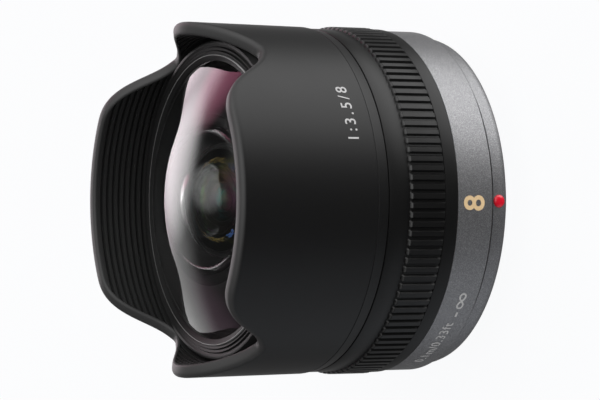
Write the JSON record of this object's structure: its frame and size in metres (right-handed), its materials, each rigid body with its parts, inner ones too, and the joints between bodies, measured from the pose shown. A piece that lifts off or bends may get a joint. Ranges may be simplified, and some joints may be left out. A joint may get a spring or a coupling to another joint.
{
  "type": "fisheye lens",
  "caption": "Compact fisheye camera lens with a domed front glass, petal hood, ribbed focus ring, iris and bayonet mount.",
  "frame": {"origin": "centre of the mount's flange face", "axes": "+Z along the optical axis towards the subject; -Y towards the index dot; the long petals at -Y and +Y"},
  "size_m": [0.0606, 0.0606, 0.0569],
  "materials": {
    "hood_black": "satin black",
    "trim_black": "matte black",
    "grip_black": "satin black",
    "grey_metal": "speckled grey metallic",
    "dot_red": "gloss",
    "mount_metal": "satin chrome",
    "screw_steel": "machined",
    "contact_black": "matte black",
    "contact_gold": "gold plated",
    "baffle_black": "matte black",
    "dome_glass": "coated glass",
    "inner_glass": "coated glass",
    "seal_rubber": "matte",
    "cell_black": "black anodised",
    "inner_black": "matte black",
    "comb_white": "matte",
    "blade_black": "matte black",
    "cam_metal": "satin",
    "motor_steel": "satin",
    "rod_steel": "ground",
    "gear_brass": "machined",
    "board_green": "solder mask",
    "chip_black": "matte",
    "flex_amber": "film"
  },
  "bodies": {
    "lens_body": {"front_hood": "hood_black", "front_trim_ring": "trim_black", "rear_barrel": "grey_metal", "mount_skirt": "grey_metal", "index_dot": "dot_red", "bayonet_mount": "mount_metal", "mount_screws": "screw_steel", "hood_screws": "screw_steel", "frame_screws": "screw_steel", "iris_screws": "screw_steel", "contact_block": "contact_black", "contact_pins": "contact_gold", "rear_baffle": "baffle_black", "element_1": "dome_glass", "element_2": "inner_glass", "element_3": "inner_glass", "element_4": "inner_glass", "element_8": "inner_glass", "element_9": "inner_glass", "element_10": "inner_glass", "front_seal": "seal_rubber", "front_cell": "cell_black", "middle_cell": "inner_black", "element_2_ring": "inner_black", "element_3_ring": "inner_black", "main_barrel": "inner_black", "rear_frame": "inner_black", "rear_cell": "inner_black", "rear_spacer": "inner_black", "rear_retainer": "inner_black", "iris_base": "inner_black", "iris_cover": "inner_black", "home_sensor": "inner_black", "ring_readers": "inner_black", "motor_bracket": "cam_metal", "iris_motor": "motor_steel", "focus_motor": "motor_steel", "guide_rods": "rod_steel", "main_board": "board_green", "board_chips": "chip_black", "flex_cables": "flex_amber"},
    "focus_ring": {"focus_ring": "grip_black", "encoder_comb": "comb_white"},
    "focus_group": {"focus_carriage": "inner_black", "element_5": "inner_glass", "element_6": "inner_glass", "element_7": "inner_glass", "focus_retainer": "inner_black", "focus_nut": "gear_brass"},
    "lead_screw": {"lead_screw": "rod_steel"},
    "iris_ring": {"iris_ring": "cam_metal"},
    "iris_pinion": {"iris_pinion": "gear_brass"},
    "blade_1": {"iris_blade_1": "blade_black"},
    "blade_2": {"iris_blade_2": "blade_black"},
    "blade_3": {"iris_blade_3": "blade_black"},
    "blade_4": {"iris_blade_4": "blade_black"},
    "blade_5": {"iris_blade_5": "blade_black"},
    "blade_6": {"iris_blade_6": "blade_black"},
    "blade_7": {"iris_blade_7": "blade_black"}
  },
  "joints": [
    {"name": "focus_ring_turn", "type": "hinge", "parent": "lens_body", "child": "focus_ring", "pos_m": [0, 0, 0.0175], "axis": [0, 0, 1], "continuous": true},
    {"name": "lead_screw_turn", "type": "hinge", "parent": "lens_body", "child": "lead_screw", "pos_m": [-0.01131, -0.01131, 0.01], "axis": [0, 0, 1], "range_deg": [0, 1200.1]},
    {"name": "focus_slide", "type": "slide", "parent": "lens_body", "child": "focus_group", "axis": [0, 0, 1], "range_m": [0, 0.002]},
    {"name": "iris_turn", "type": "hinge", "parent": "lens_body", "child": "iris_ring", "pos_m": [0, 0, 0.0234], "axis": [0, 0, 1], "range_deg": [0, 36]},
    {"name": "iris_pinion_turn", "type": "hinge", "parent": "lens_body", "child": "iris_pinion", "pos_m": [0.00945, 0.01637, 0.0234], "axis": [0, 0, 1], "range_deg": [-288, 0]},
    {"name": "blade_1_turn", "type": "hinge", "parent": "lens_body", "child": "blade_1", "pos_m": [0.0115, 0, 0.0225], "axis": [0, 0, 1], "range_deg": [0, 20]},
    {"name": "blade_2_turn", "type": "hinge", "parent": "lens_body", "child": "blade_2", "pos_m": [0.00717, 0.00899, 0.0225], "axis": [0, 0, 1], "range_deg": [0, 20]},
    {"name": "blade_3_turn", "type": "hinge", "parent": "lens_body", "child": "blade_3", "pos_m": [-0.00256, 0.01121, 0.0225], "axis": [0, 0, 1], "range_deg": [0, 20]},
    {"name": "blade_4_turn", "type": "hinge", "parent": "lens_body", "child": "blade_4", "pos_m": [-0.01036, 0.00499, 0.0225], "axis": [0, 0, 1], "range_deg": [0, 20]},
    {"name": "blade_5_turn", "type": "hinge", "parent": "lens_body", "child": "blade_5", "pos_m": [-0.01036, -0.00499, 0.0225], "axis": [0, 0, 1], "range_deg": [0, 20]},
    {"name": "blade_6_turn", "type": "hinge", "parent": "lens_body", "child": "blade_6", "pos_m": [-0.00256, -0.01121, 0.0225], "axis": [0, 0, 1], "range_deg": [0, 20]},
    {"name": "blade_7_turn", "type": "hinge", "parent": "lens_body", "child": "blade_7", "pos_m": [0.00717, -0.00899, 0.0225], "axis": [0, 0, 1], "range_deg": [0, 20]}
  ],
  "couplings": [
    {"joint": "lead_screw_turn", "follows": "focus_slide", "rad_per_m": 10472},
    {"joint": "iris_pinion_turn", "follows": "iris_turn", "ratio": -8},
    {"joint": "blade_1_turn", "follows": "iris_turn", "ratio": 0.55556},
    {"joint": "blade_2_turn", "follows": "iris_turn", "ratio": 0.55556},
    {"joint": "blade_3_turn", "follows": "iris_turn", "ratio": 0.55556},
    {"joint": "blade_4_turn", "follows": "iris_turn", "ratio": 0.55556},
    {"joint": "blade_5_turn", "follows": "iris_turn", "ratio": 0.55556},
    {"joint": "blade_6_turn", "follows": "iris_turn", "ratio": 0.55556},
    {"joint": "blade_7_turn", "follows": "iris_turn", "ratio": 0.55556}
  ]
}
